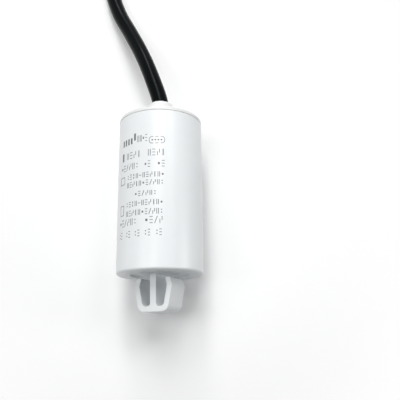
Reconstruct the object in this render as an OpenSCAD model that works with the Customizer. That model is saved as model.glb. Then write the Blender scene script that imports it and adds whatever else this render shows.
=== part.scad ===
// Motor run capacitor: a plastic can with a moulded snap-in clip, a pressed-in lid and a two-core cable.
// It lies on its side. The origin is the middle of the seat face at the clip end, on the can's axis.
// The axis runs along +Y to the cable end, and +Z is up.

/* [Can] */
// Outside diameter of the can
case_d = 35; // [30:0.5:50]
// Length of the can from its seat face to its rim
case_l = 64.6; // [50:0.2:100]
// Thickness of the can's side wall
wall_t = 1.7; // [1.2:0.1:2.5]
// Thickness of the can's floor
floor_t = 2.6; // [2:0.1:4]
// Rounding of the outer edge at the clip end
bottom_edge_r = 1.1; // [0.5:0.1:2]
// Rounding inside, where the wall meets the floor
inner_edge_r = 1; // [0.4:0.1:1.8]
// Bevel on each side of the seam between the can and the lid
seam_bevel = 0.15; // [0.1:0.05:0.4]
// Width of the fine slot that the lid's flange leaves above the outer edge of the can's rim
seam_slot = 0.12; // [0.06:0.02:0.3]
// Depth of that slot
seam_slot_depth = 0.6; // [0.4:0.05:0.9]
// Angle by which the can has rolled about its axis
roll_angle = 24; // [0:1:45]

/* [Clip end] */
// Outside diameter of the ring groove round the clip
groove_d = 24; // [21:0.5:25]
// Depth of the ring groove below the seat face
groove_depth = 1; // [0.4:0.1:1.4]
// Diameter of the round pad that carries the clip
pad_d = 16.4; // [15:0.2:19]
// Depth of the pad's face below the seat face
pad_drop = 0.3; // [0.2:0.05:0.4]
// Rounding of the small edges of the groove and the pad
small_edge_r = 0.2; // [0.1:0.05:0.3]

/* [Snap-in clip] */
// Width across the two legs at their shoulders
clip_w = 16.4; // [14:0.2:20]
// Width across the two legs at their tips
tip_w = 14.6; // [12:0.2:15]
// Width across the two legs at the foot, before its rounding
foot_w = 12.6; // [11:0.2:14]
// Height of the clip from the seat face
clip_h = 14.6; // [12:0.2:18]
// Depth of the clip, square to its profile
clip_depth = 12; // [8:0.5:13]
// Thickness of a leg
leg_t = 2.2; // [1.6:0.1:2.6]
// Thickness of the web in the middle
web_t = 2.7; // [2:0.1:3.2]
// Thickness of the foot that joins the web and the legs
foot_t = 2.2; // [1.6:0.1:3]
// Space between the seat face and the leg tips, for the panel that the clip grips
panel_gap = 1.5; // [1:0.1:2.5]
// Height of the legs' shoulders from the seat face
shoulder_h = 4.5; // [3.5:0.1:6]
// Rounding of the foot's outer corners
foot_r = 3; // [1.5:0.1:3.5]
// Rounding at the root of the web
root_r = 1; // [0.4:0.1:2]
// Rounding inside the foot, next to the web
window_web_r = 1.2; // [0.4:0.1:1.2]
// Rounding inside the foot, next to a leg
window_leg_r = 1.6; // [0.4:0.1:1.8]
// Rounding inside a leg's shoulder
shoulder_in_r = 1; // [0.3:0.1:1.5]
// Rounding outside a leg's shoulder
shoulder_out_r = 0.8; // [0.3:0.1:1.5]
// Rounding of a leg's tip
tip_r = 0.3; // [0.1:0.05:0.5]

/* [Lid] */
// Thickness of the lid's flange
flange_t = 1.8; // [1.4:0.1:3]
// Rounding of the flange's upper edge
flange_edge_r = 1; // [0.4:0.1:1.1]
// Length of the skirt that plugs into the can
skirt_l = 4; // [3:0.1:7]
// Thickness of the skirt
skirt_t = 1.6; // [1:0.1:2.2]
// Rounding of the skirt's lower edge and of its inner corner
skirt_r = 0.4; // [0.2:0.1:0.8]
// Height of the cable collar above the flange
collar_h = 8.2; // [5:0.1:12]
// Diameter of the collar where it meets the flange
collar_base_d = 11.6; // [10.8:0.1:13]
// Diameter of the collar at its mouth
collar_top_d = 10; // [9.2:0.1:10.6]
// Rounding between the collar and the flange
collar_foot_r = 1.2; // [0.4:0.1:2]
// Rounding of the collar's rim
collar_rim_r = 0.5; // [0.2:0.05:0.7]

/* [Cable] */
// Outside diameter of the cable
cable_d = 7; // [6:0.1:7.4]
// Outside diameter of an insulated wire
wire_d = 2.4; // [1.8:0.1:2.6]
// Diameter of the bare strand inside a wire
strand_d = 1.1; // [0.8:0.1:1.4]
// Length of a tail's tinned tip
tip_l = 8; // [5:0.5:10]
// Length of cable that reaches past the lid's plate into the can
cable_tuck = 2; // [1:0.1:2.2]

/* [Winding] */
// Outside diameter of the tube that the film is wound on
core_d = 6; // [5:0.2:7]
// Bore of the tube that the film is wound on
core_bore = 4; // [3:0.2:4.6]
// Thickness of the sprayed metal on each end of the winding
spray_t = 0.6; // [0.4:0.1:1]
// Depth of resin between the can's floor and the winding
resin_under = 2; // [1.8:0.1:3]
// Depth of resin over the winding
resin_over = 3.4; // [3:0.1:6]
// Diameter of a solder joint
solder_d = 4; // [3:0.1:4.4]
// Height of a solder joint
solder_h = 1.4; // [1.2:0.1:1.7]

/* [Clearances] */
// Gap all round between the skirt and the can
lid_gap = 0.1; // [0.05:0.05:0.2]
// Gap all round between the cable and the lid's bore
cable_gap = 0.1; // [0.05:0.05:0.2]
// Gap on each side of a wire
wire_gap = 0.25; // [0.15:0.05:0.4]
// Bend radius of an inner wire at its middle line
wire_bend_r = 2.4; // [1.8:0.1:2.6]
// Height above the winding's foot at which the blue wire is stripped
strip_up = 2; // [1.5:0.1:4]
// Bend radius of a bare strand at its middle line
strand_bend_r = 1.5; // [1:0.1:1.8]

/* [Hidden] */
$fn = 96;
// Straight pieces in each rounded corner of a profile
CORNER_STEPS = 6;
// Sides of the cable's tube and of a tail's tube
CABLE_SIDES = 12;
TAIL_SIDES = 8;
// Depth to which the web's rounding is sunk in its pad, and the depth of the root below that
ROOT_SINK = 0.05;
ROOT_DEPTH = 0.45;

bore_r = case_d / 2 - wall_t;
mouth_z = case_l + flange_t + collar_h;

// Levels inside the can, from the rim downwards
skirt_z = case_l - skirt_l;
wire_level = skirt_z - 2 * wire_gap - wire_d / 2;
resin_z = wire_level - wire_d / 2 - 2 * wire_gap;
winding_top = resin_z - resin_over;
winding_bottom = floor_t + resin_under;
strand_lift = wire_gap / 2;
strip_top = winding_top + solder_h + wire_gap;
strip_bottom = winding_bottom + strip_up;

// Places across the can
roll_r = bore_r - wire_d - 2 * wire_gap;
side_wire_x = bore_r - wire_gap - wire_d / 2;
joint_x = (core_d / 2 + roll_r) / 2;
pair_x = (wire_d + wire_gap) / 2;

// Routes measured from the middle of the collar's mouth, level with the can's axis.
// The cable sinks to the table, swings to one side and lies in one open turn.
cable_route = [
    [0, 0, 0], [-4, 14, -1.2], [-9, 28, -4.6], [-15, 42, -9], [-21, 55, -12.4], [-25, 68, -14],
    [-26.6, 82, -14], [-24.8, 96, -14], [-18.4, 109, -14], [-8, 118, -14], [5.2, 121.4, -14],
    [18.6, 118.4, -14], [29, 109, -14], [34, 96, -14], [33.2, 82, -14]];
brown_route = [
    [34.45, 81.9, -14], [34.35, 79.3, -14], [32.5, 75.2, -15], [28.3, 72.1, -15.9], [22.4, 70.7, -16.3],
    [15.8, 70.9, -16.3], [9.2, 72, -16.3], [2.8, 74.2, -16.3]];
blue_route = [
    [31.95, 82.05, -14], [31.8, 79.8, -14], [29.4, 76.7, -15.1], [25.2, 75.4, -16], [19.6, 76.4, -16.3],
    [14, 79.1, -16.3], [8.6, 82.8, -16.3], [3.6, 87.2, -16.3]];

// ---- Profiles ----

function unit(v) = v / norm(v);

// One corner p of an outline, rounded with radius r between its neighbours a and b.
function corner(a, p, b, r) =
    let (u = unit(a - p), v = unit(b - p),
         half = acos(u * v) / 2,
         centre = p + unit(u + v) * r / sin(half),
         from = p + u * r / tan(half) - centre,
         side = sign(cross(from, p - centre)),
         turn = 180 - 2 * half)
    r == 0 ? [p] : [for (i = [0 : CORNER_STEPS])
        let (t = side * turn * i / CORNER_STEPS)
        centre + [from.x * cos(t) - from.y * sin(t), from.x * sin(t) + from.y * cos(t)]];

// The points of a closed outline whose corners are [x, y, rounding].
function outline(corners) =
    let (n = len(corners), at = [for (c = corners) [c.x, c.y]])
    [for (i = [0 : n - 1]) each corner(at[(i + n - 1) % n], at[i], at[(i + 1) % n], corners[i].z)];

// ---- Tubes ----

// A closed tube of radius r through the points of a route that never runs straight up.
function ring(p, along, r, sides) =
    let (across = unit(cross(along, [0, 0, 1])), up = cross(across, along))
    [for (i = [0 : sides - 1]) let (t = 360 * i / sides) p + r * (cos(t) * across + sin(t) * up)];

module tube(route, r, sides) {
    last = len(route) - 1;
    rings = [for (i = [0 : last])
        each ring(route[i], unit(route[min(i + 1, last)] - route[max(i - 1, 0)]), r, sides)];
    walls = [for (i = [0 : last - 1], j = [0 : sides - 1])
        let (k = (j + 1) % sides)
        [i * sides + j, i * sides + k, (i + 1) * sides + k, (i + 1) * sides + j]];
    start = [for (j = [sides - 1 : -1 : 0]) j];
    end = [for (j = [0 : sides - 1]) last * sides + j];
    polyhedron(rings, concat([start], walls, [end]));
}

// A rod of diameter d that stands between two heights.
module rod(d, from_z, to_z) {
    translate([0, 0, from_z]) cylinder(d = d, h = to_z - from_z);
}

// A level rod along +X.
module level_rod(d, from_x, to_x, z) {
    translate([from_x, 0, z]) rotate([0, 90, 0]) cylinder(d = d, h = to_x - from_x);
}

// A quarter of a ring in the XZ plane, from one angle on for 90 degrees.
module quarter(d, bend_r, from_angle) {
    rotate([90, 0, 0]) rotate([0, 0, from_angle])
        rotate_extrude(angle = 90) translate([bend_r, 0]) circle(d = d);
}

// A pipe of two radii that stands between two heights.
module pipe(inner_r, outer_r, from_z, to_z) {
    difference() {
        rod(2 * outer_r, from_z, to_z);
        rod(2 * inner_r, from_z - 1, to_z + 1);
    }
}

// ---- The can and its lid, drawn standing on the seat face ----

module cup() {
    outer_r = case_d / 2;
    edge_z = case_l - seam_slot;
    slot_r = outer_r - seam_slot_depth;
    rotate_extrude() polygon(outline([
        [0, pad_drop, 0], [pad_d / 2, pad_drop, small_edge_r], [pad_d / 2, groove_depth, small_edge_r],
        [groove_d / 2, groove_depth, small_edge_r], [groove_d / 2, 0, small_edge_r],
        [outer_r, 0, bottom_edge_r], [outer_r, edge_z - seam_bevel, 0], [outer_r - seam_bevel, edge_z, 0],
        [slot_r, edge_z, 0], [slot_r, case_l, 0],
        [bore_r, case_l, 0], [bore_r, floor_t, inner_edge_r], [0, floor_t, 0]]));
}

// Half the clip's width at a height between its shoulders and its foot.
function leg_x(height) = (clip_w + (foot_w - clip_w) * (height - shoulder_h) / (clip_h - shoulder_h)) / 2;

// Right half of the clip's profile, from the middle of the web's root round to the middle of the foot.
function half_clip() =
    let (web_x = web_t / 2,
         root_y = -pad_drop - ROOT_SINK,
         window_top = clip_h - foot_t)
    [[web_x + root_r + ROOT_SINK, root_y - ROOT_DEPTH, 0], [web_x + root_r + ROOT_SINK, root_y, 0],
     [web_x, root_y, root_r], [web_x, window_top, window_web_r],
     [leg_x(window_top) - leg_t, window_top, window_leg_r],
     [clip_w / 2 - leg_t, shoulder_h, shoulder_in_r], [tip_w / 2 - leg_t, panel_gap, tip_r],
     [tip_w / 2, panel_gap, tip_r], [clip_w / 2, shoulder_h, shoulder_out_r], [foot_w / 2, clip_h, foot_r]];

module clip() {
    half = half_clip();
    other = [for (i = [len(half) - 1 : -1 : 0]) [-half[i].x, half[i].y, half[i].z]];
    rotate([-90, 0, 0]) linear_extrude(clip_depth, center = true) polygon(outline(concat(half, other)));
}

module case() {
    color("white") union() {
        cup();
        clip();
    }
}

module lid() {
    flange_x = case_d / 2;
    skirt_x = bore_r - lid_gap;
    cable_x = cable_d / 2 + cable_gap;
    edge_r = min(flange_edge_r, flange_t - 2 * seam_bevel);
    color("whitesmoke") translate([0, 0, case_l]) rotate_extrude() polygon(outline([
        [cable_x, 0, 0], [skirt_x - skirt_t, 0, skirt_r], [skirt_x - skirt_t, -skirt_l, 0],
        [skirt_x, -skirt_l, skirt_r], [skirt_x, 0, 0],
        [flange_x - seam_bevel, 0, 0], [flange_x, seam_bevel, 0], [flange_x, flange_t, edge_r],
        [collar_base_d / 2, flange_t, collar_foot_r], [collar_top_d / 2, flange_t + collar_h, collar_rim_r],
        [cable_x, flange_t + collar_h, 0]]));
}

// ---- The winding and its resin ----

module film_roll() {
    color("gainsboro") pipe(core_d / 2, roll_r, winding_bottom + spray_t, winding_top - spray_t);
}

module core_tube() {
    color("beige") pipe(core_bore / 2, core_d / 2, winding_bottom, winding_top);
}

module end_spray_top() {
    color("silver") pipe(core_d / 2, roll_r, winding_top - spray_t, winding_top);
}

module end_spray_bottom() {
    color("silver") pipe(core_d / 2, roll_r, winding_bottom, winding_bottom + spray_t);
}

// The brown wire and its joint lie on the +X side, and the blue ones on the other.
module blue_side() {
    mirror([1, 0, 0]) children();
}

// A wire from the end of the cable, out to one side below the skirt, and down to a height.
module inner_wire(side_x, end_z) {
    translate([pair_x, 0, 0]) rod(wire_d, wire_level + wire_bend_r, case_l - cable_tuck);
    translate([pair_x + wire_bend_r, 0, wire_level + wire_bend_r]) quarter(wire_d, wire_bend_r, 180);
    level_rod(wire_d, pair_x + wire_bend_r, side_x - wire_bend_r, wire_level);
    translate([side_x - wire_bend_r, 0, wire_level - wire_bend_r]) quarter(wire_d, wire_bend_r, 0);
    translate([side_x, 0, 0]) rod(wire_d, end_z, wire_level - wire_bend_r);
}

module inner_wire_brown() {
    color("saddlebrown") inner_wire(joint_x, strip_top);
}

module inner_wire_blue() {
    color("royalblue") blue_side() inner_wire(side_wire_x, strip_bottom);
}

module bare_end_brown() {
    color("peru") translate([joint_x, 0, 0]) rod(strand_d, winding_top + strand_lift, strip_top);
}

// The strand turns in under the winding and ends in its solder joint.
module bare_end_blue() {
    level = winding_bottom - strand_lift - strand_d / 2;
    color("peru") blue_side() {
        translate([side_wire_x, 0, 0]) rod(strand_d, level + strand_bend_r, strip_bottom);
        translate([side_wire_x - strand_bend_r, 0, level + strand_bend_r])
            quarter(strand_d, strand_bend_r, 270);
        level_rod(strand_d, joint_x, side_wire_x - strand_bend_r, level);
    }
}

// The outer forms of the two solder joints, before their strands are taken out.
module joint_top() {
    translate([joint_x, 0, 0]) rod(solder_d, winding_top, winding_top + solder_h);
}

module joint_bottom() {
    blue_side() translate([joint_x, 0, 0]) rod(solder_d, winding_bottom - solder_h, winding_bottom);
}

module solder_top() {
    color("lightgray") difference() {
        joint_top();
        bare_end_brown();
    }
}

module solder_bottom() {
    color("lightgray") difference() {
        joint_bottom();
        bare_end_blue();
    }
}

// Resin fills the can round the winding, through its core and over its top.
module resin_fill() {
    color("darkslategray") difference() {
        rotate_extrude() polygon(outline([
            [0, floor_t, 0], [bore_r, floor_t, inner_edge_r], [bore_r, resin_z, 0], [0, resin_z, 0]]));
        pipe(core_bore / 2, roll_r, winding_bottom, winding_top);
        inner_wire_brown();
        inner_wire_blue();
        bare_end_brown();
        bare_end_blue();
        joint_top();
        joint_bottom();
    }
}

// ---- The cable, drawn where it lies ----

module at_mouth() {
    translate([0, mouth_z, 0]) children();
}

module cable_sheath() {
    tuck = [0, case_l - cable_tuck - mouth_z, 0];
    color("#202226") at_mouth() tube(concat([tuck], cable_route), cable_d / 2, CABLE_SIDES);
}

module tail_wire_brown() {
    color("saddlebrown") at_mouth() tube(brown_route, wire_d / 2, TAIL_SIDES);
}

module tail_wire_blue() {
    color("royalblue") at_mouth() tube(blue_route, wire_d / 2, TAIL_SIDES);
}

// The tinned end of a strand, in line with the end of its wire.
module tinned_tip(route) {
    end = route[len(route) - 1];
    along = unit(end - route[len(route) - 2]);
    translate(end) rotate([0, acos(along.z), atan2(along.y, along.x)]) cylinder(d = strand_d, h = tip_l);
}

module tinned_tip_brown() {
    color("silver") at_mouth() tinned_tip(brown_route);
}

module tinned_tip_blue() {
    color("silver") at_mouth() tinned_tip(blue_route);
}

// ---- Assembly ----

// Lays what is drawn standing down on its side, rolled about its axis.
module lay() {
    rotate([0, -roll_angle, 0]) rotate([-90, 0, 0]) children();
}

lay() case();
lay() lid();
lay() resin_fill();
lay() film_roll();
lay() core_tube();
lay() end_spray_top();
lay() end_spray_bottom();
lay() inner_wire_brown();
lay() inner_wire_blue();
lay() bare_end_brown();
lay() bare_end_blue();
lay() solder_top();
lay() solder_bottom();
cable_sheath();
tail_wire_brown();
tail_wire_blue();
tinned_tip_brown();
tinned_tip_blue();
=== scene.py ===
# %% [markdown]
# # A motor run capacitor in a white plastic can
#
# The part lies on a pale table. Its can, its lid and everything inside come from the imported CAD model,
# which is exact and is never changed here. This script makes what a CAD model leaves plain: the run of
# the flexible cable, the stripped strands, the soft edges of the moulded clip, the print and every finish.
# All lengths are in metres, in the frame of the CAD model: +Y runs along the can towards the cable.

# %% Load the frame
import math

import bpy
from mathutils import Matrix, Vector
from mathutils.geometry import interpolate_bezier


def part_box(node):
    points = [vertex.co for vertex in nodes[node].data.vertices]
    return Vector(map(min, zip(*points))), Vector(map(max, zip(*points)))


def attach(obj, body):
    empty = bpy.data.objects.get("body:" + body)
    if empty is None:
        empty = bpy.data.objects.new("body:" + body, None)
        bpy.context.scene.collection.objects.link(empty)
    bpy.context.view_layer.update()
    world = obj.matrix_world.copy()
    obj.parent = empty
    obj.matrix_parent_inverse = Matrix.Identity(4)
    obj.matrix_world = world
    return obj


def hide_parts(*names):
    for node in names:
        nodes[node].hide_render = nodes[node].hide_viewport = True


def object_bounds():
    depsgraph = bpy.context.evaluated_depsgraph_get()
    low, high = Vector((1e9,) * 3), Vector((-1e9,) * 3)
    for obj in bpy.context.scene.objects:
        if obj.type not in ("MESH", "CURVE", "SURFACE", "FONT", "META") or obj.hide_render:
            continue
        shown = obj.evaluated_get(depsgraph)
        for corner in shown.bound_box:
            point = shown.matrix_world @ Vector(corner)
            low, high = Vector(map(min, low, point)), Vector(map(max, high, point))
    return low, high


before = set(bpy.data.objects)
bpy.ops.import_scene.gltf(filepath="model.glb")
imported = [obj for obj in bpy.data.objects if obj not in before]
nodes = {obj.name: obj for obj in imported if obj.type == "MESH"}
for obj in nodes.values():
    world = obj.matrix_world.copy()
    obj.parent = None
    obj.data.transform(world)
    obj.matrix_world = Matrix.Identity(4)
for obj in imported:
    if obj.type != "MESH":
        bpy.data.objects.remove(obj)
cad_low, cad_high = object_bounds()
print("CAD box from", tuple(round(x, 4) for x in cad_low), "to", tuple(round(x, 4) for x in cad_high))

# %% [markdown]
# ## Sizes taken from the frame
#
# A few sizes drive everything below. They are read from the CAD nodes' boxes where a box gives them, so
# that a longer can moves the cable with it, and a wider one bends its print to a wider curve. The table is
# the lowest level of the model. Of the cable, tip_l is the length of a tinned end, and tuck is how much of it
# is inside the collar and the lid.

# %% Driving sizes
MM = 0.001
can_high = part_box("case")[1]
lid_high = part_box("lid")[1]
can_r = can_high.x
mouth = Vector((0, lid_high.y, 0))
table_z = cad_low.z

cable_d = 7 * MM
wire_d = 2.4 * MM
strand_d = 1.1 * MM
tip_l = 8 * MM
tuck = 12 * MM

print(f"can: {2 * can_r / MM:.1f} mm across, {can_high.y / MM:.1f} mm long; mouth at {mouth.y / MM:.1f} mm")

# %% [markdown]
# ## The camera
#
# The camera comes before the cable, because the part of the cable that it doesn't see has to be put away
# in little room. It looks down on the table from above the clip end, tilted a little towards the cable.

# %% Camera
camera_place = (13.4 * MM, -29.1 * MM, 212.3 * MM)
camera_turn = tuple(math.radians(angle) for angle in (15.89, -0.58, -0.92))

bpy.ops.object.camera_add(location=camera_place, rotation=camera_turn)
camera = bpy.context.object
camera.data.lens = 47.6
camera.data.sensor_width = 36
camera.data.clip_start = 5 * MM
camera.data.clip_end = 10
bpy.context.scene.camera = camera
print("camera", tuple(round(x, 4) for x in camera.location))

# %% [markdown]
# ## Small helpers for modelling by hand
#
# Operators act on all that is selected, and loading the frame leaves its nodes selected. So each piece
# starts from an empty selection, and ends with its place moved into its mesh, as a CAD node has it.

# %% Helpers
def start_clean():
    """Leaves object mode with nothing selected."""
    if bpy.context.object and bpy.context.object.mode != "OBJECT":
        bpy.ops.object.mode_set(mode="OBJECT")
    bpy.ops.object.select_all(action="DESELECT")


def pick(piece):
    """Selects one piece alone and makes it the active one."""
    start_clean()
    piece.select_set(True)
    bpy.context.view_layer.objects.active = piece
    return piece


def settle(piece):
    """Moves a piece's place, turn and scale into its mesh."""
    pick(piece)
    bpy.ops.object.transform_apply(location=True, rotation=True, scale=True)
    return piece


def apply_all(piece):
    """Applies the piece's modifiers in their order."""
    pick(piece)
    for modifier in list(piece.modifiers):
        bpy.ops.object.modifier_apply(modifier=modifier.name)
    return piece


def smooth(piece, angle):
    """Shades smooth, apart from edges sharper than the angle in degrees."""
    pick(piece)
    bpy.ops.object.shade_smooth_by_angle(angle=math.radians(angle))
    return piece


def report(piece):
    """Prints how many triangles a piece has, and its size."""
    triangles = sum(len(face.vertices) - 2 for face in piece.data.polygons)
    size = tuple(round(x / MM, 2) for x in piece.dimensions)
    print(f"{piece.name}: {triangles} triangles, {size} mm")
    return piece


# %% [markdown]
# ## The route of the cable
#
# A new capacitor of this kind comes with a quarter of a metre of round flex. It leaves the collar, sinks
# to the table under its own weight, swings to one side and lies in one open turn. Each route is a short list
# of points, the same one that the CAD model sweeps its plain tube along. The points count from the middle
# of the collar's mouth, so the cable stays in the collar if the can changes.

# %% Route points
cable_route = [
    (0, 0, 0), (-.004, .014, -.0012), (-.009, .028, -.0046), (-.015, .042, -.009), (-.021, .055, -.0124),
    (-.025, .068, -.014), (-.0266, .082, -.014), (-.0248, .096, -.014), (-.0184, .109, -.014),
    (-.008, .118, -.014), (.0052, .1214, -.014), (.0186, .1184, -.014), (.029, .109, -.014),
    (.034, .096, -.014), (.0332, .082, -.014)]
brown_route = [
    (.03445, .0819, -.014), (.03435, .0793, -.014), (.0325, .0752, -.015), (.0283, .0721, -.0159),
    (.0224, .0707, -.0163), (.0158, .0709, -.0163), (.0092, .072, -.0163), (.0028, .0742, -.0163)]
blue_route = [
    (.03195, .08205, -.014), (.0318, .0798, -.014), (.0294, .0767, -.0151), (.0252, .0754, -.016),
    (.0196, .0764, -.0163), (.014, .0791, -.0163), (.0086, .0828, -.0163), (.0036, .0872, -.0163)]


def laid(route):
    """The route's points in the frame of the model."""
    return [mouth + Vector(point) for point in route]


print("route points of cable and wires:", len(cable_route), len(brown_route), len(blue_route))

# %% [markdown]
# ## From points to a smooth cable
#
# Straight stretches between the points would kink. A Bezier curve bends evenly through them, if the handles
# of each point lie in line with its two neighbours and reach a third of the way to them. Handles at points
# that lie on the table are kept level, so that the cable doesn't dip into it between them.

# %% Curves
def smooth_line(name, points, diameter):
    """A round curve through the points, level wherever it lies on the table."""
    curve = bpy.data.curves.new(name, "CURVE")
    curve.dimensions = "3D"
    curve.resolution_u = 10
    curve.bevel_depth = diameter / 2
    curve.bevel_resolution = 6
    curve.use_fill_caps = True
    spline = curve.splines.new("BEZIER")
    spline.bezier_points.add(len(points) - 1)
    last = len(points) - 1
    lying_z = table_z + diameter / 2 + 0.1 * MM
    for i, knot in enumerate(spline.bezier_points):
        before, here, after = points[max(i - 1, 0)], points[i], points[min(i + 1, last)]
        along = (after - before).normalized()
        if here.z < lying_z:
            along.z = 0
        knot.co = here
        knot.handle_left = here - along * (here - before).length / 3
        knot.handle_right = here + along * (after - here).length / 3
    line = bpy.data.objects.new(name, curve)
    bpy.context.collection.objects.link(line)
    return line


def points_along(line, steps=12):
    """Points close together on the middle line of a curve."""
    knots = line.data.splines[0].bezier_points
    found = []
    for a, b in zip(knots, knots[1:]):
        found += interpolate_bezier(a.co, a.handle_right, b.handle_left, b.co, steps)[:-1]
    return found + [knots[-1].co.copy()]


def length_of(points):
    """The length of the line that joins the points."""
    return sum((b - a).length for a, b in zip(points, points[1:]))


# %% [markdown]
# ## The cable's jacket
#
# The jacket is one tube of black PVC. As a curve it would end in a flat disc, but a cut jacket shows its
# wall and lets its two wires out. So the curve becomes a mesh, its far end is inset by the thickness of the
# wall, and the middle is pushed back in. The jacket starts inside the collar, where the lid grips it.

# %% Tubes with a cut end
weld = 0.001 * MM


def as_tube(line):
    """Turns a round curve into a mesh tube with closed ends."""
    pick(line)
    bpy.ops.object.convert(target="MESH")
    tube = bpy.context.object
    bpy.ops.object.mode_set(mode="EDIT")
    bpy.ops.mesh.select_all(action="SELECT")
    bpy.ops.mesh.remove_doubles(threshold=weld)
    bpy.ops.mesh.normals_make_consistent(inside=False)
    bpy.ops.object.mode_set(mode="OBJECT")
    return tube


def cut_end(piece, end, direction, wall, depth):
    """Hollows the flat end of a tube: inset by its wall, then pushed back in."""
    near = 0.2 * MM
    facing = 0.9
    pick(piece)
    bpy.ops.object.mode_set(mode="EDIT")
    bpy.ops.mesh.select_all(action="DESELECT")
    bpy.ops.object.mode_set(mode="OBJECT")
    for face in piece.data.polygons:
        face.select = (face.center - end).length < near and face.normal.dot(direction) > facing
    bpy.ops.object.mode_set(mode="EDIT")
    bpy.ops.mesh.select_mode(type="FACE")
    bpy.ops.mesh.inset(thickness=wall)
    bpy.ops.mesh.extrude_region_move(TRANSFORM_OT_translate={"value": -direction * depth})
    bpy.ops.object.mode_set(mode="OBJECT")
    return piece


# %% Jacket
jacket_wall = 1 * MM
jacket_recess = 2 * MM

jacket_points = [mouth - Vector((0, tuck, 0))] + laid(cable_route)
jacket_line = smooth_line("cable_jacket", jacket_points, cable_d)
jacket_path = points_along(jacket_line)
jacket_end = jacket_path[-1]
jacket_way = (jacket_path[-1] - jacket_path[-2]).normalized()
cable_jacket = as_tube(jacket_line)
cut_end(cable_jacket, jacket_end, jacket_way, jacket_wall, jacket_recess)
smooth(cable_jacket, angle=40)
report(cable_jacket)
print(f"jacket: {length_of(jacket_path) / MM:.0f} mm with the stretch inside the lid")

# %% [markdown]
# ## The two wires
#
# A brown and a blue wire leave the jacket and spread. Each is a thinner tube of the same kind. They start
# inside the hollowed end of the jacket, so that no gap shows there.

# %% Wires
wire_wall = (wire_d - strand_d) / 2
wire_recess = 0.3 * MM
start_share = 0.9


def insulated_wire(name, route):
    """A wire that starts in the jacket's hollow end, and the points along its middle."""
    points = laid(route)
    points.insert(0, points[0] - jacket_way * jacket_recess * start_share)
    line = smooth_line(name, points, wire_d)
    path = points_along(line)
    wire = as_tube(line)
    cut_end(wire, path[-1], (path[-1] - path[-2]).normalized(), wire_wall, wire_recess)
    smooth(wire, angle=40)
    report(wire)
    return wire, path


core_wire_brown, brown_path = insulated_wire("core_wire_brown", brown_route)
core_wire_blue, blue_path = insulated_wire("core_wire_blue", blue_route)

# %% [markdown]
# ## The tinned strand ends
#
# Under the insulation is a rope of fine copper strands. At its end it is dipped in tin, which fills the
# gaps but leaves the lay of the strands in sight. One strand is a small circle that is extruded and turned
# step by step, which gives it its helix. It is copied round a straight middle strand, and a fine voxel
# remesh then fuses all seven, as the tin does.

# %% Rope of strands
def twisted_rope(name):
    """Six strands laid round a seventh, standing on the origin."""
    strand_r = strand_d / 6
    middle_r = 1.25 * strand_r
    outer_strands = 6
    steps = 26
    turn = math.radians(300)
    start_clean()
    bpy.ops.mesh.primitive_circle_add(vertices=12, radius=strand_r, fill_type="NGON",
                                      location=(2 * strand_r, 0, 0))
    rope = bpy.context.object
    rope.name = name
    settle(rope)
    bpy.ops.object.mode_set(mode="EDIT")
    bpy.ops.mesh.select_all(action="SELECT")
    for _ in range(steps):
        bpy.ops.mesh.extrude_region_move(TRANSFORM_OT_translate={"value": (0, 0, tip_l / steps)})
        bpy.ops.transform.rotate(value=turn / steps, orient_axis="Z", center_override=(0, 0, 0))
    bpy.ops.mesh.select_all(action="SELECT")
    for _ in range(outer_strands - 1):
        bpy.ops.mesh.duplicate()
        bpy.ops.transform.rotate(value=math.radians(360 / outer_strands), orient_axis="Z",
                                 center_override=(0, 0, 0))
    bpy.ops.mesh.select_all(action="DESELECT")
    bpy.ops.mesh.primitive_cylinder_add(vertices=16, radius=middle_r, depth=tip_l,
                                        location=(0, 0, tip_l / 2))
    bpy.ops.mesh.select_all(action="SELECT")
    bpy.ops.mesh.normals_make_consistent(inside=False)
    bpy.ops.object.mode_set(mode="OBJECT")
    return rope


# %% Strand ends
def strand_end(name, path):
    """A tinned rope in line with the end of a wire."""
    rope = twisted_rope(name)
    fuse = rope.modifiers.new("fuse", "REMESH")
    fuse.mode = "VOXEL"
    fuse.voxel_size = 0.055 * MM
    soften = rope.modifiers.new("soften", "SMOOTH")
    soften.iterations = 3
    apply_all(rope)
    along = (path[-1] - path[-2]).normalized()
    rope.rotation_euler = along.to_track_quat("Z", "Y").to_euler()
    rope.location = path[-1]
    settle(rope)
    smooth(rope, angle=60)
    return report(rope)


strand_end_brown = strand_end("strand_end_brown", brown_path)
strand_end_blue = strand_end("strand_end_blue", blue_path)

# %% [markdown]
# ## The cable in place of the CAD tubes
#
# Each new piece of the cable takes the place of a plain tube of the CAD model, which is hidden. All of them
# ride on the one body of the part.

for piece, node, slot in [(cable_jacket, "cable_sheath", "cable_jacket"),
                          (core_wire_brown, "tail_wire_brown", "brown_insulation"),
                          (core_wire_blue, "tail_wire_blue", "blue_insulation"),
                          (strand_end_brown, "tinned_tip_brown", "tinned_strand"),
                          (strand_end_blue, "tinned_tip_blue", "tinned_strand")]:
    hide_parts(node)
    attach(piece, "root")
print("cable from the mouth to the tips:",
      round((length_of(jacket_path) - tuck + length_of(brown_path) + tip_l) / MM), "mm")

# %% [markdown]
# ## The moulded can with softened clip edges
#
# A mould leaves no knife edges. The CAD solid has all the large roundings, but the long outline of the clip
# is sharp where its flat faces meet its sides. A copy of the node is merged, its flat parts are joined into
# single faces, and the outline's edges get a small bevel. They are chosen by their place: they lie on one of
# the clip's two flat faces, which are turned with the clip round the can's axis. Smooth shading would then
# make the flat faces look swollen, so a Weighted Normal modifier lets the largest faces decide how the light
# falls.

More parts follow.
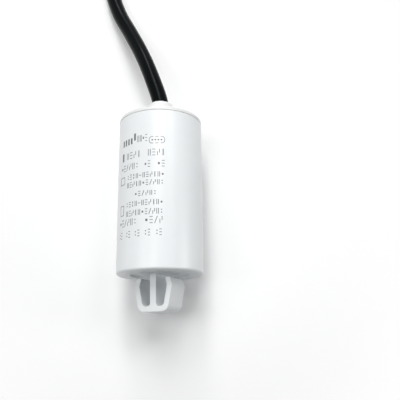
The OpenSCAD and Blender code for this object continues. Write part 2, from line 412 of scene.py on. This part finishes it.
# %% A merged copy of the can
case_shell = bpy.data.objects.new("case_shell", nodes["case"].data.copy())
bpy.context.collection.objects.link(case_shell)
pick(case_shell)
bpy.ops.mesh.customdata_custom_splitnormals_clear()
bpy.ops.object.mode_set(mode="EDIT")
bpy.ops.mesh.select_all(action="SELECT")
bpy.ops.mesh.remove_doubles(threshold=weld)
bpy.ops.mesh.dissolve_limited(angle_limit=math.radians(0.3))
bpy.ops.mesh.select_all(action="DESELECT")
bpy.ops.object.mode_set(mode="OBJECT")
report(case_shell)

# %% Softened edges of the clip
clip_turn = math.radians(24)
clip_half = 6 * MM
edge_soft = 0.25 * MM
on_face = 0.01 * MM
above_seat = 0.1 * MM

flat_way = Vector((-math.sin(clip_turn), 0, math.cos(clip_turn)))
on_flat = [abs(abs(v.co.dot(flat_way)) - clip_half) < on_face and v.co.y < above_seat
           for v in case_shell.data.vertices]
for edge in case_shell.data.edges:
    edge.select = all(on_flat[i] for i in edge.vertices)
print("edges to soften:", sum(edge.select for edge in case_shell.data.edges))
bpy.ops.object.mode_set(mode="EDIT")
bpy.ops.mesh.select_mode(type="EDGE")
bpy.ops.mesh.bevel(offset=edge_soft, segments=3, profile=0.5)
bpy.ops.object.mode_set(mode="OBJECT")
smooth(case_shell, angle=32)
flats = case_shell.modifiers.new("true_flats", "WEIGHTED_NORMAL")
flats.keep_sharp = True
apply_all(case_shell)
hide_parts("case")
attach(case_shell, "root")
report(case_shell)

# %% [markdown]
# ## The print on the can
#
# A can of this kind carries rows of small grey print. Here it is generic: strokes, blocks and dots in rows
# of the usual height and reach, which say nothing. It is drawn flat, as on a printing pad, in the XZ plane:
# x is the way round the can from its top line, and z is the height above the seat. Each mark is a few thin
# bars in a box of a given width and height round its middle. All are added in edit mode, so that they become
# one piece.

# %% Marks of the print
ink_t = 0.02 * MM
stroke = 0.27 * MM
thick_stroke = stroke * 1.4
dot = stroke * 1.6


def bar(x, z, width, height, lean=0.0):
    """A thin upright bar round its middle."""
    bpy.ops.mesh.primitive_cube_add(size=1, location=(x, 0, z), rotation=(0, lean, 0),
                                    scale=(width, ink_t, height))


def post(x, z, width, height):
    """One thick stroke."""
    bar(x, z, thick_stroke, height)


def pair(x, z, width, height):
    """Two strokes side by side."""
    for side in (-1, 1):
        bar(x + side * width / 3, z, stroke, height)


def stairs(x, z, width, height):
    """Two shorter strokes, the right one higher."""
    for side in (-1, 1):
        bar(x + side * width / 3, z + side * height / 5, stroke, height * 0.6)


def broken(x, z, width, height):
    """A thick stroke with a gap."""
    for side in (-1, 1):
        bar(x, z + side * height / 3.5, thick_stroke, height / 2.6)


def rungs(x, z, width, height):
    """Three level strokes above each other."""
    for step in (-1, 0, 1):
        bar(x, z + step * (height - stroke) / 2, width, stroke)


def slash(x, z, width, height):
    """One leaning stroke."""
    bar(x, z, stroke, height * 1.1, lean=math.radians(20))


def dash(x, z, width, height):
    """One level stroke."""
    bar(x, z, width, stroke)


def block(x, z, width, height):
    """A low solid block."""
    bar(x, z, width * 0.7, height * 0.35)


def dots(x, z, width, height):
    """Two dots above each other."""
    for side in (-1, 1):
        bar(x, z + side * height / 4, dot, dot)


# %% A run of marks
MARKS = [pair, rungs, stairs, post, pair, block, rungs, slash, stairs, pair, dots, rungs, broken, pair, dash]
mark_share = 0.66


def run_of_marks(first, last, z, height, pitch, start):
    """Fills a stretch of a row with marks that repeat, from one place in the list of marks."""
    count = max(1, round((last - first) / pitch))
    step = (last - first) / count
    for i in range(count):
        mark = MARKS[(start + i) % len(MARKS)]
        mark(first + (i + 0.5) * step, z, step * mark_share, height)


# %% Rows of the print
# Each row, in millimetres: height of its middle, height and pitch of its marks, and the stretches it fills.
# A row starts a few marks further on in the list than the row before, so that no two rows are alike.
rows = [
    (46.2, 2.7, 1.75, [(-14.6, -6.9), (-4.3, 3.0)]),
    (41.5, 2.6, 1.7, [(-18.2, -7.8), (-5.6, -2.8), (-0.4, 3.0)]),
    (37.1, 2.1, 1.45, [(-13.9, 2.7)]),
    (33.9, 2.1, 1.45, [(-13.9, 2.5)]),
    (29.7, 2.0, 1.5, [(-9.8, -0.2)]),
    (25.9, 2.1, 1.45, [(-14.2, 2.3)]),
    (22.3, 2.2, 1.45, [(-14.1, 2.3)]),
    (18.9, 2.7, 1.75, [(-18.6, -8.3), (-5.2, 2.3)]),
    (14.1, 2.5, 1.5, [(-18.8, -16.1), (-13.9, -11.3), (-9.5, -6.8), (-5.2, -2.5), (-0.8, 1.9)])]
marks_further = 5

start_clean()
bar(-16.8 * MM, 46.4 * MM, width=1.1 * MM, height=3.4 * MM)
can_print = bpy.context.object
can_print.name = "can_print"
settle(can_print)
bpy.ops.object.mode_set(mode="EDIT")
for number, (z, height, pitch, stretches) in enumerate(rows):
    for first, last in stretches:
        run_of_marks(first * MM, last * MM, z * MM, height * MM, pitch * MM, start=marks_further * number)
bpy.ops.object.mode_set(mode="OBJECT")
report(can_print)

# %% Bold bars above the rows
pick(can_print)
bpy.ops.object.mode_set(mode="EDIT")
for x in (-16.6, -14.9, -13.2, -11.6):
    bar(x * MM, 52.3 * MM, width=0.85 * MM, height=2.6 * MM)
bar(-9.9 * MM, 53.7 * MM, width=0.9 * MM, height=3.0 * MM)
run_of_marks(-9.0 * MM, -4.1 * MM, 52.6 * MM, height=2.8 * MM, pitch=1.2 * MM, start=3)
bpy.ops.object.mode_set(mode="OBJECT")
report(can_print)

# %% [markdown]
# ## Framed marks
#
# Three small outlines stand beside the rows. Each starts as one face. Its corners are rounded by a bevel of
# its corner points, an inset leaves a rim, and the middle is deleted. A row of small squares goes into the
# widest one. Then all the ink is joined and subdivided, so that it has points to bend at.

# %% Outlines of the print
def outline(x, z, width, height, corner, rim):
    """A flat rounded frame in the print, as a piece of its own, with its sizes in millimetres."""
    start_clean()
    bpy.ops.mesh.primitive_plane_add(size=1, rotation=(math.pi / 2, 0, 0))
    frame_mark = bpy.context.object
    frame_mark.scale = (width * MM, height * MM, 1)
    frame_mark.location = (x * MM, 0, z * MM)
    settle(frame_mark)
    bpy.ops.object.mode_set(mode="EDIT")
    bpy.ops.mesh.select_all(action="SELECT")
    bpy.ops.mesh.bevel(offset=corner * MM, segments=6, affect="VERTICES")
    bpy.ops.mesh.select_mode(type="FACE")
    bpy.ops.mesh.inset(thickness=rim * MM)
    bpy.ops.mesh.delete(type="FACE")
    bpy.ops.object.mode_set(mode="OBJECT")
    thicken = frame_mark.modifiers.new("thicken", "SOLIDIFY")
    thicken.thickness = ink_t
    thicken.offset = 0
    return apply_all(frame_mark)


frame_marks = [outline(-0.4, 51.4, width=6.4, height=3.0, corner=1.2, rim=0.22),
               outline(-16.9, 36.4, width=3.2, height=3.2, corner=0.4, rim=0.25),
               outline(-16.9, 24.2, width=2.6, height=4.2, corner=0.4, rim=0.25)]
print("frames:", len(frame_marks))

# %% Join the ink
pick(can_print)
bpy.ops.object.mode_set(mode="EDIT")
for x in (-2.2, -1.0, 0.2, 1.4):
    bar(x * MM, 51.4 * MM, width=0.6 * MM, height=0.6 * MM)
bpy.ops.object.mode_set(mode="OBJECT")
for frame_mark in frame_marks:
    frame_mark.select_set(True)
bpy.ops.object.join()
bpy.ops.object.mode_set(mode="EDIT")
bpy.ops.mesh.select_all(action="SELECT")
bpy.ops.mesh.subdivide(number_cuts=1)
bpy.ops.object.mode_set(mode="OBJECT")
report(can_print)

# %% [markdown]
# ## Round the can
#
# A printing pad rolls the flat ink on to the can. Here a Simple Deform modifier bends it. The modifier bends
# by an angle over the whole width of the piece, so the width divided by the radius of the ink gives the true
# curve. A hair of air between ink and can keeps the two surfaces from flickering through each other.

# %% Bend the ink round the can
hair = 0.004 * MM
ink_r = can_r + ink_t / 2 + hair

wrap = can_print.modifiers.new("wrap", "SIMPLE_DEFORM")
wrap.deform_method = "BEND"
wrap.deform_axis = "Z"
wrap.angle = can_print.dimensions.x / ink_r
apply_all(can_print)
can_print.location = (0, 0, ink_r)
can_print.rotation_euler = (-math.pi / 2, 0, 0)
settle(can_print)
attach(can_print, "root")
report(can_print)

# %% [markdown]
# ## The table
#
# The table is one large sheet of white paper. It isn't part of the object. In a bright studio the paper goes
# plain white and only true shadows stay on it, so the camera sees the paper brighter than it is, and so do
# mirror-like and clear finishes. The light that bounces back to the part is that of ordinary paper.

# %% Rays that show the surroundings
def seen_ray(tree):
    """A value that is 1 for camera, glossy and transmission rays, and 0 for the others."""
    path = tree.nodes.new("ShaderNodeLightPath")
    kind = path.outputs["Is Camera Ray"]
    for other in ("Is Glossy Ray", "Is Transmission Ray"):
        either = tree.nodes.new("ShaderNodeMath")
        either.operation = "MAXIMUM"
        tree.links.new(kind, either.inputs[0])
        tree.links.new(path.outputs[other], either.inputs[1])
        kind = either.outputs["Value"]
    return kind


# %% Table
start_clean()
bpy.ops.mesh.primitive_plane_add(size=12, location=(0, 0, table_z))
table = bpy.context.object
table.name = "table_top"
settle(table)
print("table at", round(table_z / MM, 2), "mm")

# %% [markdown]
# ## The paper
#
# Lamps reach only so far, and paper that is seen from far off would go grey. So the paper fades into the
# white of the room, a hand away from the part's middle line. The nearest point of that line comes from
# holding each coordinate of a place between the line's two ends, and the distance to it drives the fade.

# %% Paper
paper_white = 0.7
exposed_white = 1.03
fade_from = 0.05
fade_to = 0.12

table_paint = bpy.data.materials.new("table_paint")
table_paint.use_nodes = True
tree = table_paint.node_tree
tree.nodes.clear()
table_out = tree.nodes.new("ShaderNodeOutputMaterial")
paper = tree.nodes.new("ShaderNodeBsdfDiffuse")
paper.inputs["Color"].default_value = (paper_white, paper_white, paper_white, 1)
exposed = tree.nodes.new("ShaderNodeBsdfDiffuse")
exposed.inputs["Color"].default_value = (exposed_white, exposed_white, exposed_white, 1)
backdrop = tree.nodes.new("ShaderNodeEmission")
coords = tree.nodes.new("ShaderNodeTexCoord")
nearest = coords.outputs["Object"]
for operation, limit in [("MAXIMUM", (0, 0, table_z)), ("MINIMUM", (0, cad_high.y, table_z))]:
    held = tree.nodes.new("ShaderNodeVectorMath")
    held.operation = operation
    held.inputs[1].default_value = limit
    tree.links.new(nearest, held.inputs[0])
    nearest = held.outputs["Vector"]
reach = tree.nodes.new("ShaderNodeVectorMath")
reach.operation = "DISTANCE"
fade = tree.nodes.new("ShaderNodeMapRange")
fade.interpolation_type = "SMOOTHSTEP"
fade.inputs["From Min"].default_value = fade_from
fade.inputs["From Max"].default_value = fade_to
seen = tree.nodes.new("ShaderNodeMixShader")
choose = tree.nodes.new("ShaderNodeMixShader")
tree.links.new(coords.outputs["Object"], reach.inputs[0])
tree.links.new(nearest, reach.inputs[1])
tree.links.new(reach.outputs["Value"], fade.inputs["Value"])
tree.links.new(fade.outputs["Result"], seen.inputs["Fac"])
tree.links.new(exposed.outputs[0], seen.inputs[1])
tree.links.new(backdrop.outputs[0], seen.inputs[2])
tree.links.new(seen_ray(tree), choose.inputs["Fac"])
tree.links.new(paper.outputs[0], choose.inputs[1])
tree.links.new(seen.outputs[0], choose.inputs[2])
tree.links.new(choose.outputs[0], table_out.inputs["Surface"])
table.data.materials.append(table_paint)
print(f"paper {paper_white}, seen as {exposed_white}, white from {fade_to} m")

# %% [markdown]
# ## Light
#
# A broad soft box hangs over the far side of the part. It is the strongest lamp, and makes the wide bright
# band on the can and the soft shadow that falls towards the viewer. A long box behind it adds the thin streak
# on the black cable. Five smaller lamps stand round the part and keep the sides of the can from going grey.
# The low one on the right also throws the cable's faint shadow to the left.

# %% Lamps
look_at = Vector((0, 0.035, 0))


def soft_box(name, place, width, length, power):
    """A rectangular lamp that looks at the middle of the can."""
    bpy.ops.object.light_add(type="AREA", location=place)
    lamp = bpy.context.object
    lamp.name = name
    lamp.data.shape = "RECTANGLE"
    lamp.data.size = width
    lamp.data.size_y = length
    lamp.data.energy = power
    aim = look_at - Vector(place)
    lamp.rotation_euler = aim.to_track_quat("-Z", "Y").to_euler()
    print(f"{name}: {power} W, {width} by {length} m")


soft_box("main_box", (-0.03, 0.46, 0.68), width=0.3, length=0.42, power=2.5)
soft_box("streak_box", (-0.05, 0.7, 0.45), width=0.14, length=0.36, power=1.6)
soft_box("top_lamp", (-0.2, 0.035, 0.77), width=0.27, length=0.27, power=1)
soft_box("left_lamp", (-0.51, 0.035, 0.61), width=0.27, length=0.27, power=0.86)
soft_box("right_low_lamp", (0.75, 0.035, 0.27), width=0.24, length=0.24, power=1)
soft_box("right_far_lamp", (0.36, 0.4, 0.61), width=0.24, length=0.24, power=0.85)
soft_box("left_near_lamp", (-0.36, -0.33, 0.61), width=0.24, length=0.24, power=0.36)

# %% [markdown]
# ## Sky
#
# The room adds a dim fill, so that no shadow is quite black. A white room could be made of walls, but a world
# shader does it with two backgrounds. Rays that show the surroundings meet plain white, and the rays that
# light the part meet the dim fill.

# %% Sky
fill_strength = 0.12

sky = bpy.data.worlds.new("sky")
bpy.context.scene.world = sky
sky.use_nodes = True
tree = sky.node_tree
tree.nodes.clear()
sky_out = tree.nodes.new("ShaderNodeOutputWorld")
fill = tree.nodes.new("ShaderNodeBackground")
fill.inputs["Color"].default_value = (0.95, 0.98, 1, 1)
fill.inputs["Strength"].default_value = fill_strength
white = tree.nodes.new("ShaderNodeBackground")
white.inputs["Color"].default_value = (1, 1, 1, 1)
choose = tree.nodes.new("ShaderNodeMixShader")
tree.links.new(seen_ray(tree), choose.inputs["Fac"])
tree.links.new(fill.outputs[0], choose.inputs[1])
tree.links.new(white.outputs[0], choose.inputs[2])
tree.links.new(choose.outputs[0], sky_out.inputs["Surface"])
bpy.context.scene.view_settings.view_transform = "Standard"
print("sky fill:", fill_strength)

# %% [markdown]
# ## Shared effects as node groups
#
# Three effects serve every finish: fine grain, a drift of roughness and a drift of tone. Each is a node group
# with named sockets, built once. A group puts out only a colour, a value or a normal, and the shader itself
# stays in the material.

# %% Helpers for node groups
def new_group(name, inputs, output):
    """An empty node group with its sockets: inputs are (name, kind, value), output is (name, kind)."""
    group = bpy.data.node_groups.new(name, "ShaderNodeTree")
    for label, kind, value in inputs:
        socket = group.interface.new_socket(label, in_out="INPUT", socket_type="NodeSocket" + kind)
        if value is not None:
            socket.default_value = value
    group.interface.new_socket(output[0], in_out="OUTPUT", socket_type="NodeSocket" + output[1])
    enter = group.nodes.new("NodeGroupInput")
    leave = group.nodes.new("NodeGroupOutput")
    return group, enter, leave


def add(tree, kind, **values):
    """A node of a kind, with its settings and its input values."""
    node = tree.nodes.new("ShaderNode" + kind)
    for key, value in values.items():
        if hasattr(node, key):
            setattr(node, key, value)
        else:
            node.inputs[key.replace("_", " ")].default_value = value
    return node


# %% Fine grain
def grain_group():
    """Small bumps of one size and height."""
    group, enter, leave = new_group(
        "Fine grain", [("Vector", "Vector", None), ("Scale", "Float", 1500.0), ("Height", "Float", 0.00001)],
        ("Normal", "Vector"))
    noise = add(group, "TexNoise", Detail=3.0)
    bump = add(group, "Bump", Strength=1.0)
    group.links.new(enter.outputs["Vector"], noise.inputs["Vector"])
    group.links.new(enter.outputs["Scale"], noise.inputs["Scale"])
    group.links.new(noise.outputs["Fac"], bump.inputs["Height"])
    group.links.new(enter.outputs["Height"], bump.inputs["Distance"])
    group.links.new(bump.outputs["Normal"], leave.inputs["Normal"])
    return group


fine_grain = grain_group()
print("node group:", fine_grain.name)

# %% Drift
noise_middle = 0.5


def drift_group():
    """A value that wanders round its middle by an amount."""
    group, enter, leave = new_group(
        "Drift", [("Vector", "Vector", None), ("Scale", "Float", 60.0), ("Middle", "Float", 0.5),
                  ("Amount", "Float", 0.1)], ("Value", "Float"))
    noise = add(group, "TexNoise", Detail=4.0, Roughness=0.6)
    centre = add(group, "Math", operation="SUBTRACT")
    centre.inputs[1].default_value = noise_middle
    spread = add(group, "Math", operation="MULTIPLY_ADD")
    group.links.new(enter.outputs["Vector"], noise.inputs["Vector"])
    group.links.new(enter.outputs["Scale"], noise.inputs["Scale"])
    group.links.new(noise.outputs["Fac"], centre.inputs[0])
    group.links.new(centre.outputs[0], spread.inputs[0])
    group.links.new(enter.outputs["Amount"], spread.inputs[1])
    group.links.new(enter.outputs["Middle"], spread.inputs[2])
    group.links.new(spread.outputs[0], leave.inputs["Value"])
    return group


drift = drift_group()
print("node group:", drift.name)

# %% Tone
def tone_group():
    """A colour that drifts towards another in soft patches."""
    group, enter, leave = new_group(
        "Tone", [("Vector", "Vector", None), ("Scale", "Float", 60.0), ("Color", "Color", (1, 1, 1, 1)),
                 ("Other", "Color", (0.9, 0.9, 0.9, 1)), ("Amount", "Float", 1.0)], ("Color", "Color"))
    noise = add(group, "TexNoise", Detail=5.0, Roughness=0.6)
    patch = add(group, "MapRange", From_Min=0.35, From_Max=0.7)
    share = add(group, "Math", operation="MULTIPLY")
    mix = add(group, "Mix", data_type="RGBA")
    # A Mix node has sockets for each kind of data, and these three are its colours.
    color_in, other_in, color_out = mix.inputs[6], mix.inputs[7], mix.outputs[2]
    group.links.new(enter.outputs["Vector"], noise.inputs["Vector"])
    group.links.new(enter.outputs["Scale"], noise.inputs["Scale"])
    group.links.new(noise.outputs["Fac"], patch.inputs["Value"])
    group.links.new(patch.outputs["Result"], share.inputs[0])
    group.links.new(enter.outputs["Amount"], share.inputs[1])
    group.links.new(share.outputs[0], mix.inputs["Factor"])
    group.links.new(enter.outputs["Color"], color_in)
    group.links.new(enter.outputs["Other"], other_in)
    group.links.new(color_out, leave.inputs["Color"])
    return group


tone = tone_group()
print("node group:", tone.name)

# %% [markdown]
# ## A material and its parts
#
# Every finish starts the same way: a Principled shader, Object coordinates, a tone group on its colour, a
# drift group on its roughness and a grain group on its normal. One function wires that up, and each finish
# then says only what is special to it. Its roughness drifts in patches a third of the size of its tones.

# %% Base of every finish
def place_group(tree, group, vector, **values):
    """Puts a node group into a material, with its coordinates and its own values."""
    node = tree.nodes.new("ShaderNodeGroup")
    node.node_tree = group
    tree.links.new(vector, node.inputs["Vector"])
    for key, value in values.items():
        node.inputs[key].default_value = value
    return node


def finish_of(name, color, other, patches, rough, drifts, grain, height, **shader):
    """A finish in two close tones, with roughness that drifts round its middle and fine grain."""
    material = bpy.data.materials.new(name)
    material.use_nodes = True
    tree = material.node_tree
    principled = tree.nodes["Principled BSDF"]
    for key, value in shader.items():
        principled.inputs[key.replace("_", " ")].default_value = value
    coords = tree.nodes.new("ShaderNodeTexCoord").outputs["Object"]
    colour = place_group(tree, tone, coords, Scale=patches, Color=(*color, 1), Other=(*other, 1))
    dulling = place_group(tree, drift, coords, Scale=patches * 3, Middle=rough, Amount=drifts)
    skin = place_group(tree, fine_grain, coords, Scale=grain, Height=height)
    tree.links.new(colour.outputs[0], principled.inputs["Base Color"])
    tree.links.new(dulling.outputs[0], principled.inputs["Roughness"])
    tree.links.new(skin.outputs[0], principled.inputs["Normal"])
    print("finish:", name)
    return material


def paint(piece, material):
    """Gives a piece its one material."""
    piece.data.materials.clear()
    piece.data.materials.append(material)


def paint_node(name, material):
    """Gives a CAD node its material through its slot, so that its mesh stays as it is."""
    nodes[name].material_slots[0].material = material


# %% [markdown]
# ## Can and lid
#
# The can is a bright moulding with a soft gloss. The lid comes from another mould and is a shade duller and
# greyer, which draws the seam between them. Neither is pure white: plastic sends back less light than it
# gets, and a colour of 1 would clip where the lamps meet it. The grain is too fine to show as bumps, and
# only softens the highlights.

# %% Can and lid
can_plastic = finish_of("can_plastic", (0.87, 0.895, 0.905), (0.85, 0.875, 0.885), patches=40,
                        rough=0.3, drifts=0.06, grain=700, height=0.000002, IOR=1.49)
lid_plastic = finish_of("lid_plastic", (0.84, 0.845, 0.845), (0.82, 0.825, 0.825), patches=80,
                        rough=0.42, drifts=0.08, grain=1400, height=0.000006, IOR=1.49)
paint(case_shell, can_plastic)
paint_node("lid", lid_plastic)

# %% [markdown]
# ## Ink
#
# Ink on plastic is a thin matt film. It is dark grey, not black, and its tone changes from stroke to stroke
# where the pad left less of it.

# %% Ink
ink = finish_of("ink", (0.12, 0.125, 0.13), (0.2, 0.205, 0.21), patches=900,
                rough=0.6, drifts=0.1, grain=3000, height=0.000003)
paint(can_print, ink)

# %% [markdown]
# ## Cable and wires
#
# The jacket is soft PVC, close to black, with narrow bright highlights from the lamps. In a white room a
# glossy black cable turns grey, because it mirrors the room, so its index of refraction is set low and only
# the lamps are strong enough to show in it. The wires' brown and blue are the usual two, with a plain gloss.

# %% Cable and wires
jacket_pvc = finish_of("jacket_pvc", (0.0006, 0.0015, 0.0019), (0.001, 0.0025, 0.003), patches=150,
                       rough=0.22, drifts=0.05, grain=1600, height=0.000002, IOR=1.14)
brown_pvc = finish_of("brown_pvc", (0.12, 0.045, 0.02), (0.09, 0.033, 0.015), patches=200,
                      rough=0.35, drifts=0.1, grain=2500, height=0.000006)
blue_pvc = finish_of("blue_pvc", (0.02, 0.09, 0.38), (0.015, 0.07, 0.3), patches=200,
                     rough=0.35, drifts=0.1, grain=2500, height=0.000006)
paint(cable_jacket, jacket_pvc)
paint(core_wire_brown, brown_pvc)
paint(core_wire_blue, blue_pvc)
paint_node("inner_wire_brown", brown_pvc)
paint_node("inner_wire_blue", blue_pvc)

# %% [markdown]
# ## Metals
#
# Tin on the strand ends is pale and uneven. Bare copper and solder are inside, and so is the zinc that is
# sprayed on the ends of the winding, which is rough and grainy like cast sand. All are metallic, and differ
# in colour, in roughness and in the height of their grain.

# %% Metals
tinned = finish_of("tinned", (0.62, 0.62, 0.61), (0.5, 0.5, 0.49), patches=900,
                   rough=0.28, drifts=0.2, grain=4000, height=0.000004, Metallic=1.0)
copper = finish_of("copper", (0.72, 0.38, 0.24), (0.6, 0.29, 0.17), patches=900,
                   rough=0.3, drifts=0.15, grain=4000, height=0.000004, Metallic=1.0)
solder = finish_of("solder", (0.6, 0.61, 0.62), (0.48, 0.49, 0.5), patches=800,
                   rough=0.25, drifts=0.2, grain=1500, height=0.00002, Metallic=1.0)
sprayed_zinc = finish_of("sprayed_zinc", (0.42, 0.43, 0.45), (0.3, 0.31, 0.33), patches=1500,
                         rough=0.7, drifts=0.2, grain=3500, height=0.00008, Metallic=0.8)
paint(strand_end_brown, tinned)
paint(strand_end_blue, tinned)
paint_node("bare_end_brown", copper)
paint_node("bare_end_blue", copper)
paint_node("solder_top", solder)
paint_node("solder_bottom", solder)
paint_node("end_spray_top", sprayed_zinc)
paint_node("end_spray_bottom", sprayed_zinc)

# %% [markdown]
# ## Winding and resin
#
# The lid hides these, but each has a finish of its own, so that the part also looks right when it is opened
# up. The winding is metallised film, the tube that it is wound on is a yellowish plastic, and the resin that
# seals them in is black and glossy.

# %% Winding and resin
film = finish_of("film", (0.62, 0.64, 0.67), (0.55, 0.57, 0.6), patches=300,
                 rough=0.22, drifts=0.1, grain=1500, height=0.000005, Metallic=0.6)
core_plastic = finish_of("core_plastic", (0.75, 0.7, 0.58), (0.68, 0.63, 0.52), patches=300,
                         rough=0.5, drifts=0.1, grain=1500, height=0.00001)
resin = finish_of("resin", (0.02, 0.02, 0.022), (0.03, 0.03, 0.032), patches=120,
                  rough=0.15, drifts=0.1, grain=600, height=0.00002)
paint_node("film_roll", film)
paint_node("core_tube", core_plastic)
paint_node("resin_fill", resin)
